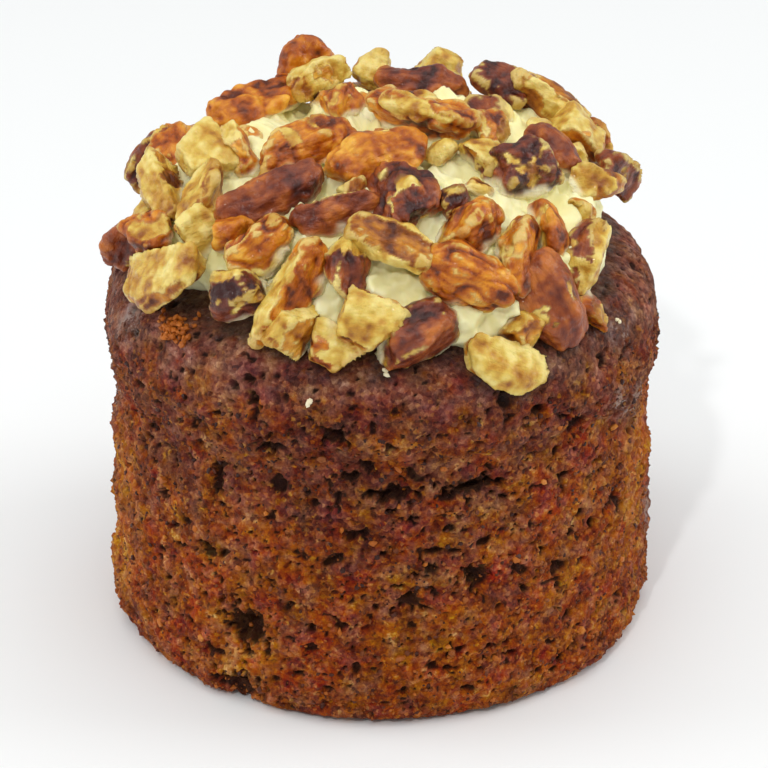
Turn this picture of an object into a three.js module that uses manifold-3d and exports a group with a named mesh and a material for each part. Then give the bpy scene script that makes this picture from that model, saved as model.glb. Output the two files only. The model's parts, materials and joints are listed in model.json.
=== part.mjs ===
/*
 * Individual carrot cake.
 *
 * A round sponge baked in a straight ring: a crumbly side, a crease where the
 * batter rose over the ring, and a domed, browned top that bulges past it.
 * On the dome lies a mound of cream cheese frosting, and chopped pecans are
 * pressed into the frosting all over, so that they stand half out of it.
 *
 * Millimetres, +Z up. The origin is the centre of the flat base, and the front
 * of the cake faces -Y. Azimuths are in degrees: 0 is the front, 90 is +X.
 */
import * as THREE from "three";
import { ConvexGeometry } from "three/addons/geometries/ConvexGeometry.js";
import { ImprovedNoise } from "three/addons/math/ImprovedNoise.js";
import { mergeVertices } from "three/addons/utils/BufferGeometryUtils.js";
import Module from "manifold-3d";

const wasm = await Module();
wasm.setup();
const noise = new ImprovedNoise();
const radians = THREE.MathUtils.degToRad;
const degrees = THREE.MathUtils.radToDeg;

// Driving sizes of the sponge
const SIDE_RADIUS = 38;
const CREASE_HEIGHT = 36;
const CREASE_DEPTH = 1.4;
const SHOULDER_HEIGHT = 49.8;
const DOME_HEIGHT = 57.5;

// Driving sizes of the frosting, whose section is a superellipse
const MOUND_RADIUS = 33.4;
const MOUND_FOOT = 49.5;
const MOUND_RISE = 20.3;
const MOUND_SQUARENESS = 2.6;

// The pecans lie on a mound of these sizes, and the frosting's own surface has
// sunk this far below it between them.
const FROSTING_DROP = 0.8;
const PECAN_SCALE = 1.06;

// The gap that pieces which touch keep, a size that reaches past any piece, and
// how near to each other two points are one
const GAP = 0.3;
const BEYOND = 60;
const SAME_POINT = 1e-4;

// Colours
const SPONGE_BROWN = 0x5e3521;
const FROSTING_CREAM = 0xe9e4c6;
const PECAN_TONES = { amber: 0xb4702f, dark: 0x6b3323, pale: 0xd6b577 };

// Geometry whose shared vertices are one vertex

function merged(geometry) {
  geometry.deleteAttribute("normal");
  geometry.deleteAttribute("uv");
  return mergeVertices(geometry, SAME_POINT);
}

function solidOf(geometry) {
  const corners = geometry.index.array;
  const triVerts = [];
  for (let i = 0; i < corners.length; i += 3) {
    const [a, b, c] = corners.subarray(i, i + 3);
    if (a !== b && b !== c && c !== a) triVerts.push(a, b, c);
  }
  const vertProperties = new Float32Array(geometry.attributes.position.array);
  const mesh = new wasm.Mesh({
    numProp: 3,
    vertProperties,
    triVerts: new Uint32Array(triVerts),
  });
  return new wasm.Manifold(mesh);
}

function geometryOf(solid) {
  const mesh = solid.getMesh();
  const geometry = new THREE.BufferGeometry();
  const positions = new THREE.BufferAttribute(mesh.vertProperties, 3);
  geometry.setAttribute("position", positions);
  geometry.setIndex(new THREE.BufferAttribute(mesh.triVerts, 1));
  return geometry;
}

// A cut can split a solid: the largest part stays and the scraps go.
function largestPart(solid) {
  return solid.decompose().reduce((a, b) => (b.volume() > a.volume() ? b : a));
}

// Moves every vertex by a function of where it is.
function reshape(geometry, move) {
  const at = new THREE.Vector3();
  const position = geometry.attributes.position;
  for (let i = 0; i < position.count; i++) {
    move(at.fromBufferAttribute(position, i));
    position.setXYZ(i, at.x, at.y, at.z);
  }
  return geometry;
}

// The convex hull round a geometry
function hullOf(geometry) {
  const { position } = geometry.attributes;
  const points = [];
  for (let i = 0; i < position.count; i++) {
    points.push(new THREE.Vector3().fromBufferAttribute(position, i));
  }
  return merged(new ConvexGeometry(points));
}

// A closed solid of revolution about Z, from [radius, height] points.
function turned(profile, segments) {
  const points = profile.map(([r, z]) => new THREE.Vector2(r, z));
  return merged(new THREE.LatheGeometry(points, segments).rotateX(Math.PI / 2));
}

const azimuthOf = (x, y) => degrees(Math.atan2(x, -y));
const anglesApart = (a, b) => Math.abs(((a - b + 540) % 360) - 180);

// Sponge

const SPONGE_SEGMENTS = 48;
const SPONGE_PROFILE = [
  [0, 0],
  [18, 0],
  [SIDE_RADIUS - 2.2, 0],
  [SIDE_RADIUS - 0.7, 0.9],
  [SIDE_RADIUS, 3.4],
  [SIDE_RADIUS + 0.1, 8],
  [SIDE_RADIUS - 0.2, 13],
  [SIDE_RADIUS - 0.4, 18],
  [SIDE_RADIUS - 0.5, 23],
  [SIDE_RADIUS - 0.8, 28],
  [SIDE_RADIUS - 1.2, 32.5],
  [SIDE_RADIUS - CREASE_DEPTH, CREASE_HEIGHT - 0.8],
  [SIDE_RADIUS - CREASE_DEPTH + 0.2, CREASE_HEIGHT + 0.8],
  [SIDE_RADIUS - 0.6, CREASE_HEIGHT + 2.4],
  [SIDE_RADIUS - 0.1, CREASE_HEIGHT + 4.8],
  [SIDE_RADIUS, CREASE_HEIGHT + 7.4],
  [SIDE_RADIUS - 0.3, CREASE_HEIGHT + 10],
  [SIDE_RADIUS - 1, SHOULDER_HEIGHT - 1.4],
  [SIDE_RADIUS - 2.2, SHOULDER_HEIGHT + 0.9],
  [SIDE_RADIUS - 4.4, SHOULDER_HEIGHT + 2.4],
  [26, DOME_HEIGHT - 2.4],
  [0, DOME_HEIGHT],
];

// Holes and torn spots in the side: azimuth, height, width, tallness, depth
const TORN_SPOTS = [
  [-32, 10.5, 4.2, 5.0, 3.4],
  [-31, 1.0, 4.4, 3.6, 1.8],
  [19, 35.8, 6.5, 1.9, 2.2],
  [3, 35.2, 4.2, 1.8, 2.0],
  [-44, 20, 3.2, 3.2, 1.8],
  [-2, 17.5, 3.2, 3.0, 1.7],
  [29, 20.5, 4.6, 3.2, 1.6],
  [-12, 37.6, 4.2, 2.2, 1.6],
  [96, 14, 4.4, 3.6, 2.0],
  [137, 27, 4.2, 2.6, 1.8],
  [171, 8, 4.6, 4.2, 2.4],
  [-160, 36, 7.5, 2.2, 2.0],
  [-122, 22, 4.0, 3.2, 1.8],
  [-88, 12, 3.6, 4.2, 1.8],
];

// Noise that runs round the side without a seam, in waves of about this length
function noiseRound(azimuth, height, wave) {
  const ring = SIDE_RADIUS / wave;
  const angle = radians(azimuth);
  return noise.noise(Math.cos(angle) * ring, Math.sin(angle) * ring, height / wave);
}

const BROAD_WAVE = 16;
const BROAD_RELIEF = 0.6;
const CRUMB_WAVE = 4.6;
const CRUMB_RELIEF = 0.9;

// How far the side stands out, or is torn in, at an azimuth and a height
function sideRelief(azimuth, height) {
  let relief = BROAD_RELIEF * noiseRound(azimuth, height, BROAD_WAVE);
  relief += CRUMB_RELIEF * noiseRound(azimuth, height, CRUMB_WAVE);
  for (const [at, z, width, tallness, depth] of TORN_SPOTS) {
    const across = (radians(anglesApart(azimuth, at)) * SIDE_RADIUS) / (width / 2);
    const up = (height - z) / (tallness / 2);
    relief -= depth * Math.exp(-(across ** 2) - up ** 2);
  }
  return relief;
}

// The crease climbs towards the front and dips in between.
const CREASE_CLIMB = 1.7;
const CREASE_WAVES = 0.8;
const CREASE_REACH = 9;

const creaseShift = (azimuth) =>
  CREASE_CLIMB * Math.cos(radians(azimuth)) +
  CREASE_WAVES * Math.sin(radians(3 * azimuth + 40));

// The relief is on the side only, and less of it where the side meets the plate.
const SIDE_FROM = 30;
const SIDE_TO = 36.5;
const FOOT_HEIGHT = 2;
const FOOT_SHARE = 0.3;

// The dome swells a little up and down.
const DOME_FROM = 46.8;
const DOME_SWELL = 0.5;
const DOME_WAVE = 9;

function spongeSolid(raised) {
  const geometry = turned(SPONGE_PROFILE, SPONGE_SEGMENTS);
  reshape(geometry, (p) => {
    const radius = Math.hypot(p.x, p.y);
    const atSide = THREE.MathUtils.smoothstep(radius, SIDE_FROM, SIDE_TO);
    if (atSide > 0) {
      const azimuth = azimuthOf(p.x, p.y);
      const offFloor = THREE.MathUtils.smoothstep(p.z, 0, FOOT_HEIGHT);
      const share = THREE.MathUtils.lerp(FOOT_SHARE, 1, offFloor);
      const relief = share * sideRelief(azimuth, p.z);
      const nearCrease = Math.exp(-(((p.z - CREASE_HEIGHT) / CREASE_REACH) ** 2));
      const stretch = 1 + (atSide * (relief + raised)) / radius;
      p.x *= stretch;
      p.y *= stretch;
      p.z += nearCrease * creaseShift(azimuth);
    }
    if (p.z > DOME_FROM) {
      p.z += raised + DOME_SWELL * noise.noise(p.x / DOME_WAVE, p.y / DOME_WAVE, 0.5);
    }
  });
  return solidOf(geometry);
}

// Frosting

const MOUND_SEGMENTS = 27;
const MOUND_RINGS = 8;
const SOFT_WAVE = 10;
const SOFT_RELIEF = 1.5;
const DAB_WAVE = 3.6;
const DAB_RELIEF = 0.9;
const CALM_FOOT = 6;

// The other coordinate of a superellipse, both as shares of their full size
const superellipse = (share) =>
  Math.max(0, 1 - share ** MOUND_SQUARENESS) ** (1 / MOUND_SQUARENESS);

// The mound's edge isn't quite round.
const edgeFactor = (azimuth) =>
  1 +
  0.02 * Math.sin(radians(3 * azimuth + 20)) +
  0.015 * Math.sin(radians(7 * azimuth));

function frostingSolid() {
  const profile = [[0, MOUND_FOOT]];
  for (let i = MOUND_RINGS; i >= 0; i--) {
    const angle = (i / MOUND_RINGS) * (Math.PI / 2);
    const share = Math.sin(angle) ** (2 / MOUND_SQUARENESS);
    const rise = Math.cos(angle) ** (2 / MOUND_SQUARENESS);
    const radius = (MOUND_RADIUS - FROSTING_DROP) * share;
    profile.push([radius, MOUND_FOOT + (MOUND_RISE - FROSTING_DROP) * rise]);
  }
  const geometry = turned(profile, MOUND_SEGMENTS);
  reshape(geometry, (p) => {
    const soft = noise.noise(p.x / SOFT_WAVE, p.y / SOFT_WAVE, p.z / SOFT_WAVE);
    const dabs = noise.noise(p.x / DAB_WAVE, p.y / DAB_WAVE, p.z / DAB_WAVE);
    const out = SOFT_RELIEF * soft + DAB_RELIEF * dabs;
    const above = THREE.MathUtils.smoothstep(p.z, MOUND_FOOT, MOUND_FOOT + CALM_FOOT);
    const share = Math.hypot(p.x, p.y) / MOUND_RADIUS;
    const factor = edgeFactor(azimuthOf(p.x, p.y)) + (share * out) / MOUND_RADIUS;
    p.x *= factor;
    p.y *= factor;
    p.z += above * out;
  });
  return solidOf(geometry);
}

/*
 * One half of a pecan with its length along X and its outer side up, 2 long
 * and 2 wide. Two grooves run along the outer side and a channel along the
 * inner side. Each variant has other lumps.
 */
const HALF_SIDES = 8;
const HALF_RINGS = 5;
const OUTER_GROOVE = 45;
const GROOVE_DEPTH = 0.2;
const CHANNEL_DEPTH = 0.5;
const GROOVE_WIDTH = 5;
const INNER_FLATNESS = 0.55;
const END_BLUNTNESS = 0.7;
const LUMP_SIZE = 0.35;
const LUMPS_ALONG = 1.3;

function pecanHalf(grooves, variant) {
  const geometry = new THREE.SphereGeometry(1, HALF_SIDES, HALF_RINGS);
  return reshape(merged(geometry.rotateZ(Math.PI / 2)), (p) => {
    const around = degrees(Math.atan2(p.z, p.y));
    const ring = Math.hypot(p.y, p.z);
    const fromRidge = Math.abs(Math.abs(around - 90) - OUTER_GROOVE);
    const fromChannel = Math.abs(around + 90);
    const grooveDip = fromRidge < GROOVE_WIDTH ? GROOVE_DEPTH : 0;
    const channelDip = fromChannel < GROOVE_WIDTH ? CHANNEL_DEPTH : 0;
    const at = p.clone().multiplyScalar(LUMPS_ALONG);
    const lump = LUMP_SIZE * noise.noise(at.x + variant * 3.7, at.y, at.z);
    const out = ring ** END_BLUNTNESS * (1 - (grooveDip + channelDip) * grooves + lump);
    p.y = Math.cos(radians(around)) * out;
    p.z = Math.sin(radians(around)) * out * (around < 0 ? INNER_FLATNESS : 1);
  });
}

/*
 * How a half is broken up: each cut takes away what lies beyond a plane, given
 * by the direction it faces and its distance from the half's middle.
 */
const CHOPS = {
  half: { grooves: 1, cuts: [] },
  most: { grooves: 1, cuts: [[-1, 0.35, 0.25, 0.6]] },
  end: { grooves: 0.9, cuts: [[-1, 0.4, -0.3, 0.1]] },
  middle: { grooves: 1, cuts: [[-1, 0.3, 0.2, 0.45], [1, 0.25, -0.3, 0.4]] },
  block: {
    grooves: 0.5,
    cuts: [[-1, 0.1, 0.15, 0.4], [1, 0.2, 0.1, 0.35], [0.1, 1, 0.1, 0.35]],
  },
  strip: {
    grooves: 0.9,
    cuts: [[-1, 0.5, 0.2, 0.85], [1, 0.3, 0.3, 0.8], [0.1, 1, 0.2, 0.1]],
  },
  smooth: { grooves: 0.3, cuts: [[-1, 0.2, -0.4, 0.75], [1, 0.3, -0.3, 0.75]] },
};

// Takes away what lies beyond a plane.
function sliced(solid, [x, y, z, distance]) {
  const facing = new THREE.Vector3(x, y, z).normalize();
  const turn = new THREE.Quaternion().setFromUnitVectors(new THREE.Vector3(1, 0, 0), facing);
  const box = new THREE.BoxGeometry(BEYOND, BEYOND, BEYOND);
  box.translate(BEYOND / 2 + distance, 0, 0).applyQuaternion(turn);
  return solid.subtract(solidOf(merged(box)));
}

// A chopped piece in its own frame, centred and brought to its size.
function choppedPecan(chop, variant, [length, width, thickness]) {
  const { grooves, cuts } = CHOPS[chop];
  const mirror = variant % 2 ? -1 : 1;
  const wholeHalf = solidOf(pecanHalf(grooves, variant));
  const broken = cuts.reduce(
    (solid, [x, y, z, distance]) => sliced(solid, [x, y * mirror, z, distance]),
    wholeHalf,
  );
  const geometry = geometryOf(broken);
  geometry.center();
  geometry.computeBoundingBox();
  const size = geometry.boundingBox.getSize(new THREE.Vector3());
  return geometry.scale(length / size.x, width / size.y, thickness / size.z);
}

/*
 * Where the pecans lie, in the order in which they were pressed in: each one
 * gives way to those before it. A row holds:
 * - the azimuth, and how far from the axis on "top" or how high on the "rim"
 * - the length, width and thickness
 * - the turn, the way its length points as seen from outside: 0 is level to
 *   the right and 90 is uphill
 * - the roll about its length: 180 shows the inner side
 * - how it is chopped, and its tone
 * - the lift of its middle above the frosting, and how far its far end tips up
 */
const PECANS = [
  [-155, "top", 24, [9.5, 7.2, 5.6], 80, 10, "end", "amber", 4.5, 62],
  [-153, "top", 19, [9, 5.6, 4.6], 190, 25, "strip", "pale", 4.2, 8],
  [-177, "top", 22, [6, 4.6, 4], 80, 0, "block", "pale", 3.2, 10],
  [-126, "top", 21, [15.8, 6.6, 5], 172, -12, "half", "amber", 1.8, -4],
  [-147, "top", 10, [7, 5.2, 4.2], 198, 10, "end", "amber", 1.6, 6],
  [-81, "top", 22.8, [9.2, 6.4, 5], 10, 35, "block", "pale", 2, -25],
  [-77, "top", 19.4, [8.4, 4.2, 3.8], 5, 0, "strip", "amber", 1.8, -20],
  [-104, "rim", 61.5, [9.5, 5, 4.6], 85, 20, "strip", "dark", 3.2],
  [-98, "top", 27.5, [8.6, 5, 4.4], 172, 0, "block", "amber", 2.4, 15],
  [-77, "top", 28.4, [9.6, 4.8, 4.4], -8, 200, "strip", "pale", 2, -30],
  [-60, "top", 25.8, [9.8, 5.2, 4.4], 128, 160, "most", "pale", 1.3],
  [-40.5, "top", 21.4, [13, 6.8, 5], 56, -8, "smooth", "dark", 1.4, 4],
  [-63, "top", 11.5, [14, 8, 5.4], 92, 0, "most", "amber", 1.6, 2],
  [-4, "top", 9.8, [13, 8.4, 5.8], 42, -6, "smooth", "amber", 1.6],
  [10, "top", 18, [12, 8.6, 5.6], -92, 0, "middle", "dark", 1.4],
  [106, "top", 5.5, [16, 7, 5], -146, 165, "half", "amber", 1.8, 4],
  [95, "top", 14, [7, 5, 4.4], -42, 0, "end", "amber", 1.4],
  [163, "top", 18, [11.6, 5.2, 4.6], 184, 10, "smooth", "dark", 1.8],
  [162, "top", 25.3, [6.4, 4.6, 4.4], 10, 0, "block", "pale", 4, 20],
  [138, "top", 23.5, [8.2, 6.2, 5], 30, 0, "end", "dark", 4, 10],
  [127, "top", 26.5, [11, 6.8, 5], 55, 170, "most", "pale", 3.4, 4],
  [111, "top", 27.2, [7.8, 6.4, 5.4], 100, 15, "block", "amber", 2.8, 10],
  [116, "rim", 61, [6, 4.2, 3.8], 60, 0, "strip", "amber", 3],
  [88, "top", 22.5, [8.4, 5, 4.4], -144, 0, "smooth", "dark", 1.2],
  [63, "top", 20.5, [9.2, 7.2, 5.4], -20, 20, "block", "dark", 1.6, 6],
  [59, "top", 15.2, [6.4, 4.2, 3.8], -123, 40, "strip", "pale", 1.6, 8],
  [82, "top", 28.4, [8.2, 4.8, 4.2], -40, 160, "end", "pale", 1.2],
  [103, "rim", 60, [10.6, 4.8, 4.4], -60, 0, "strip", "dark", 2.8],
  [26, "top", 20.5, [5.2, 3.8, 3.4], 27, 0, "end", "dark", 1],
  [27, "top", 24.8, [9.6, 5.8, 4.8], 34, 0, "most", "amber", 1.4, 6],
  [36, "top", 28.6, [10.4, 5.2, 4.6], 46, -15, "end", "amber", 1.2, 4],
  [51, "top", 28, [7.8, 4.6, 4.2], -127, 10, "strip", "amber", 1.2],
  [57, "top", 31.2, [9.8, 5.8, 4.6], 24, 0, "most", "dark", 1.2],
  [21, "top", 29.8, [11.6, 7.2, 5.6], -29, 10, "smooth", "amber", 1.2],
  [41, "rim", 56.8, [11.8, 9, 5.8], -75, 0, "smooth", "dark", 1],
  [54, "rim", 53, [6.8, 4.2, 3.8], -61, 0, "strip", "amber", 1],
  [32.5, "rim", 54.4, [5.4, 4.6, 4], 40, 0, "block", "pale", 1.2],
  [26, "rim", 50.6, [10.8, 6, 5], -24, 150, "strip", "pale", 1.8],
  [7.5, "rim", 55.4, [10.6, 7.6, 5.2], 26, 15, "most", "dark", 1],
  [3, "top", 26, [10.8, 5.4, 4.6], -27, 195, "half", "pale", 1.2, 2],
  [-70, "rim", 59, [9, 6.8, 5.6], 5, 10, "most", "amber", 1.9],
  [-80, "rim", 56, [6.6, 4.6, 4.2], 60, 0, "strip", "dark", 2.8],
  [-53, "top", 28.3, [6.4, 5.6, 4.6], 77, 30, "block", "amber", 1.2],
  [-55, "rim", 57, [13.4, 7.4, 5.4], 32, 170, "strip", "pale", 1.2],
  [-34, "rim", 58.6, [7.4, 6, 4.8], 23, 0, "block", "dark", 1.2],
  [-43, "top", 27.3, [5, 4, 3.6], 20, 0, "block", "amber", 1.2],
  [-34, "top", 28.4, [10.4, 6.6, 5], 67, 0, "most", "amber", 1.2],
  [-21.5, "top", 31, [14, 5.6, 4.8], 72, 0, "most", "amber", 1.3],
  [-19, "rim", 56, [7.2, 6.4, 4.8], 65, 30, "block", "pale", 1.2],
  [-10, "rim", 54.6, [6.8, 5.2, 4.4], -24, 20, "block", "amber", 1.1],
  [-9, "top", 28.2, [8.8, 5.8, 4.8], 81, 0, "end", "dark", 1.3],
  [-3, "rim", 57.8, [7.6, 6.6, 5.4], -31, 30, "block", "pale", 1.4],
  [-14, "top", 22.2, [10.2, 4.8, 4.2], 32, 10, "strip", "dark", 1.2],
];

// Round the back of the rim, large pieces lie evenly spaced at any turn.
const BACK_COUNT = 5;
const BACK_FROM = 131;
const BACK_TO = 237;
const BACK_HEIGHT = 58.5;
const BACK_CHOPS = ["most", "end", "strip", "smooth", "block"];
const BACK_TONES = ["amber", "pale", "dark"];

function backPecans() {
  const spread = (range) => range * (THREE.MathUtils.seededRandom() - 0.5);
  return Array.from({ length: BACK_COUNT }, (_, i) => {
    const azimuth = THREE.MathUtils.lerp(BACK_FROM, BACK_TO, i / (BACK_COUNT - 1));
    const size = [11.5 + spread(3), 7 + spread(1.4), 5 + spread(0.6)];
    const chop = BACK_CHOPS[i % BACK_CHOPS.length];
    const tone = BACK_TONES[i % BACK_TONES.length];
    const height = BACK_HEIGHT + spread(2);
    return [azimuth + spread(5), "rim", height, size, spread(180), spread(40), chop, tone, 1.3];
  });
}

const turnX = (angle) => new THREE.Matrix4().makeRotationX(radians(angle));
const turnY = (angle) => new THREE.Matrix4().makeRotationY(radians(angle));
const turnZ = (angle) => new THREE.Matrix4().makeRotationZ(radians(angle));
const shift = (x, y, z) => new THREE.Matrix4().makeTranslation(x, y, z);

// A seat on the mound, with Z out of the frosting and Y uphill, as a matrix
function seatMatrix(azimuth, place, where, lift) {
  const height = (where - MOUND_FOOT) / MOUND_RISE;
  const share = place === "top" ? where / MOUND_RADIUS : superellipse(height);
  const rise = superellipse(share);
  const outward = share ** (MOUND_SQUARENESS - 1) / MOUND_RADIUS;
  const upward = rise ** (MOUND_SQUARENESS - 1) / MOUND_RISE;
  return turnZ(azimuth)
    .multiply(shift(0, -share * MOUND_RADIUS, MOUND_FOOT + rise * MOUND_RISE))
    .multiply(turnX(degrees(Math.atan2(outward, upward))))
    .multiply(shift(0, 0, lift));
}

function pecanMatrix([azimuth, place, where, , turn, roll, , , lift, tip = 0]) {
  return seatMatrix(azimuth, place, where, lift)
    .multiply(turnZ(turn))
    .multiply(turnY(-tip))
    .multiply(turnX(roll));
}

/*
 * Small bits of nut are stuck to the frosting, spread by the golden angle.
 * Each is as large as the space between the boxes round the pecans allows, and
 * where that is too little there is none. A pecan seldom fills its box's
 * corners, so a bit may reach a little way into the box.
 */
const BIT_COUNT = 66;
const BIT_CROWDING = 0.4;
const BIT_REACH = 0.98 * MOUND_RADIUS;
const BIT_OVERREACH = 1;
const SMALLEST_BIT = 1.3;
const LARGEST_BIT = 3.4;
const BIT_LIFT = 0.2;
const BIT_FLATNESS = [1, 0.8, 0.7];
const BIT_TURN = 77;
const GOLDEN_ANGLE = 137.508;

function bitSolids(pecanBoxes) {
  const bits = [];
  for (let i = 0; i < BIT_COUNT; i++) {
    const distance = BIT_REACH * ((i + 0.5) / BIT_COUNT) ** BIT_CROWDING;
    const seat = seatMatrix(i * GOLDEN_ANGLE, "top", distance, BIT_LIFT);
    const middle = new THREE.Vector3().setFromMatrixPosition(seat);
    const room = Math.min(...pecanBoxes.map((box) => box.distanceToPoint(middle)));
    const radius = Math.min(room + BIT_OVERREACH, LARGEST_BIT * (0.6 + 0.1 * (i % 5)));
    if (room === 0 || radius < SMALLEST_BIT) continue;
    const bit = new THREE.IcosahedronGeometry(radius, 0).scale(...BIT_FLATNESS);
    bits.push(solidOf(merged(bit).applyMatrix4(seat.multiply(turnZ(i * BIT_TURN)))));
  }
  return bits;
}

// Assembly

const carrotCake = new THREE.Group();
carrotCake.name = "carrot_cake";

// A mesh has its own frame, and the matrix that places it.
function addPiece(name, solid, color, roughness, matrix = new THREE.Matrix4()) {
  const geometry = geometryOf(solid).applyMatrix4(matrix.clone().invert());
  geometry.computeVertexNormals();
  const material = new THREE.MeshStandardMaterial({ color, roughness, metalness: 0 });
  const mesh = new THREE.Mesh(geometry, material);
  mesh.name = name;
  mesh.applyMatrix4(matrix);
  carrotCake.add(mesh);
}

const raisedSponge = spongeSolid(GAP);
addPiece("sponge", spongeSolid(0), SPONGE_BROWN, 0.85);

const taken = [raisedSponge];
const pecanBoxes = [];
[...PECANS, ...backPecans()].forEach((pecan, index) => {
  const [, , , size, , , chop, tone] = pecan;
  const matrix = pecanMatrix(pecan);
  const extents = size.map((extent) => extent * PECAN_SCALE);
  const shape = choppedPecan(chop, index, extents);
  const grown = shape.clone().scale(...extents.map((extent) => 1 + (2 * GAP) / extent));
  const whole = solidOf(shape.applyMatrix4(matrix));
  const pressed = largestPart(taken.reduce((solid, other) => solid.subtract(other), whole));
  const number = String(index + 1).padStart(2, "0");
  addPiece(`pecan_${number}`, pressed, PECAN_TONES[tone], 0.4, matrix);
  taken.push(solidOf(hullOf(grown.applyMatrix4(matrix))));
  const { min, max } = pressed.boundingBox();
  pecanBoxes.push(new THREE.Box3(new THREE.Vector3(...min), new THREE.Vector3(...max)));
});

const dotted = bitSolids(pecanBoxes).reduce((solid, bit) => solid.add(bit), frostingSolid());
const frosting = taken.reduce((solid, other) => solid.subtract(other), dotted);
addPiece("frosting", largestPart(frosting), FROSTING_CREAM, 0.35);

export default carrotCake;
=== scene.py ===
# %% [markdown]
# An individual carrot cake
#
# The cake is a small round sponge with a torn, crumbly side and a browned dome.
# On the dome lies a mound of cream cheese frosting, hidden almost completely by
# chopped pecans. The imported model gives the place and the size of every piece,
# and this lesson dresses each of them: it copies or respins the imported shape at
# a fine grain, works crumb, wrinkles and creases into it, and then paints it
# with materials that are made of nodes alone.

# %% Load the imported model
import json
import math
import random

import bmesh
import bpy
import numpy as np
from mathutils import Matrix, Vector
from mathutils.bvhtree import BVHTree
from mathutils.kdtree import KDTree
from mathutils.noise import noise, voronoi


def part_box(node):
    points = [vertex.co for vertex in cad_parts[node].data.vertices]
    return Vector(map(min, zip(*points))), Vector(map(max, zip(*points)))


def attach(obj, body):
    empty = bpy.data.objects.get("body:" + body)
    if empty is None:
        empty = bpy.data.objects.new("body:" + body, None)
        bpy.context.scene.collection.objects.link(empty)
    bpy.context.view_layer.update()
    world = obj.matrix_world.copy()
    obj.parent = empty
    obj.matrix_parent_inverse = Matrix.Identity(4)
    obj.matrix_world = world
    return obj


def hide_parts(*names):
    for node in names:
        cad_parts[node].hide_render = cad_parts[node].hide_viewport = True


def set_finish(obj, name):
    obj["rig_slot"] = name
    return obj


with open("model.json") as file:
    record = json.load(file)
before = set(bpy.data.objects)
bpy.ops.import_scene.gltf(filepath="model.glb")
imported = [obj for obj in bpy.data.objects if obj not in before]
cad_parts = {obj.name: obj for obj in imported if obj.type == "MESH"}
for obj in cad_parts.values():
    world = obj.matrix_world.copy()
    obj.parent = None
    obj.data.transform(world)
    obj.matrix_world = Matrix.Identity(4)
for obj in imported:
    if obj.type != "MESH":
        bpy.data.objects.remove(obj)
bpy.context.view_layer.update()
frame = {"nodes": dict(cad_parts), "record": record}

MM = 0.001
ROOT = "root"
pecan_names = sorted(name for name in frame["nodes"] if name.startswith("pecan"))
slots = {part["node"]: part["material_slot"] for part in frame["record"]["subparts"]}
print("pecans:", len(pecan_names))

# %% [markdown]
# The camera
#
# It comes first, so that every later choice of detail can be judged in the
# photograph's own framing. The cake was taken from a little above with a long
# lens, which keeps its sides upright. A camera that looks at a target is easiest
# to write with a quaternion: minus Z of the camera points along the view.

# %% Camera
TARGET = Vector((0, 0, 32 * MM))
DISTANCE = 430 * MM
ELEVATION = math.radians(27.4)
LENS = 144.6
PHOTO_SIDE = 768
AXIS_OFFSET = 3


def linked(name, data):
    """A new object with the data, in the scene."""
    made = bpy.data.objects.new(name, data)
    bpy.context.scene.collection.objects.link(made)
    return made


view_line = Vector((0, math.cos(ELEVATION), -math.sin(ELEVATION)))
camera = linked("camera", bpy.data.cameras.new("camera"))
camera.location = TARGET - DISTANCE * view_line
camera.rotation_euler = view_line.to_track_quat("-Z", "Y").to_euler()
camera.data.lens = LENS
camera.data.sensor_width = 36
camera.data.shift_x = AXIS_OFFSET / PHOTO_SIDE
camera.data.clip_start = 10 * MM
bpy.context.scene.camera = camera
print("camera at", [round(c / MM) for c in camera.location])

# %% [markdown]
# Small helpers for shapes
#
# Every piece ends in the same way: its mesh becomes an object at the origin, it
# rides on the cake, stands for its CAD nodes and takes a slot's finish. Values
# that a material needs at each point, such as how deep a pore is, go into the
# mesh as named attributes.

# %% Helpers for shapes
MERGE_DISTANCE = 0.002


def smoothstep(value, low, high):
    share = min(1, max(0, (value - low) / (high - low)))
    return share * share * (3 - 2 * share)


def finished_piece(name, mesh, slot, nodes):
    """An object with the mesh, which rides on the cake and stands for its nodes."""
    piece = linked(name, mesh)
    mesh.shade_smooth()
    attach(piece, ROOT)
    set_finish(piece, slot)
    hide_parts(*nodes)
    print(name, "has", sum(len(p.vertices) - 2 for p in mesh.polygons), "triangles")
    return piece


def set_values(mesh, name, values):
    """Writes one number, or one vector, for each vertex."""
    values = np.asarray(values, np.float32)
    vectors = values.ndim == 2
    kind = "FLOAT_VECTOR" if vectors else "FLOAT"
    attribute = mesh.attributes.new(name, kind, "POINT")
    attribute.data.foreach_set("vector" if vectors else "value", values.ravel())


def coordinates(mesh):
    """The vertices' places as an array, in millimetres."""
    flat = np.empty(len(mesh.vertices) * 3, np.float32)
    mesh.vertices.foreach_get("co", flat)
    return flat.reshape(-1, 3) / MM


def set_coordinates(mesh, places):
    mesh.vertices.foreach_set("co", np.asarray(places * MM, np.float32).ravel())
    mesh.update()


def evaluated_mesh(mesh, kind, **settings):
    """The mesh with one modifier applied."""
    holder = linked("holder", mesh)
    modifier = holder.modifiers.new(kind, kind)
    for setting, value in settings.items():
        setattr(modifier, setting, value)
    graph = bpy.context.evaluated_depsgraph_get()
    made = bpy.data.meshes.new_from_object(holder.evaluated_get(graph))
    bpy.data.objects.remove(holder)
    return made


def merged_copy(node):
    """A CAD node's mesh, whose loose triangles are merged into one surface."""
    bm = bmesh.new()
    bm.from_mesh(frame["nodes"][node].data)
    bmesh.ops.remove_doubles(bm, verts=bm.verts, dist=MERGE_DISTANCE * MM)
    return bm


def mesh_from(bm, name):
    mesh = bpy.data.meshes.new(name)
    bm.to_mesh(mesh)
    return mesh


def smooth_mesh(bm, steps, factor):
    for _ in range(steps):
        bmesh.ops.smooth_vert(
            bm, verts=bm.verts, factor=factor, use_axis_x=True, use_axis_y=True, use_axis_z=True
        )


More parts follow.
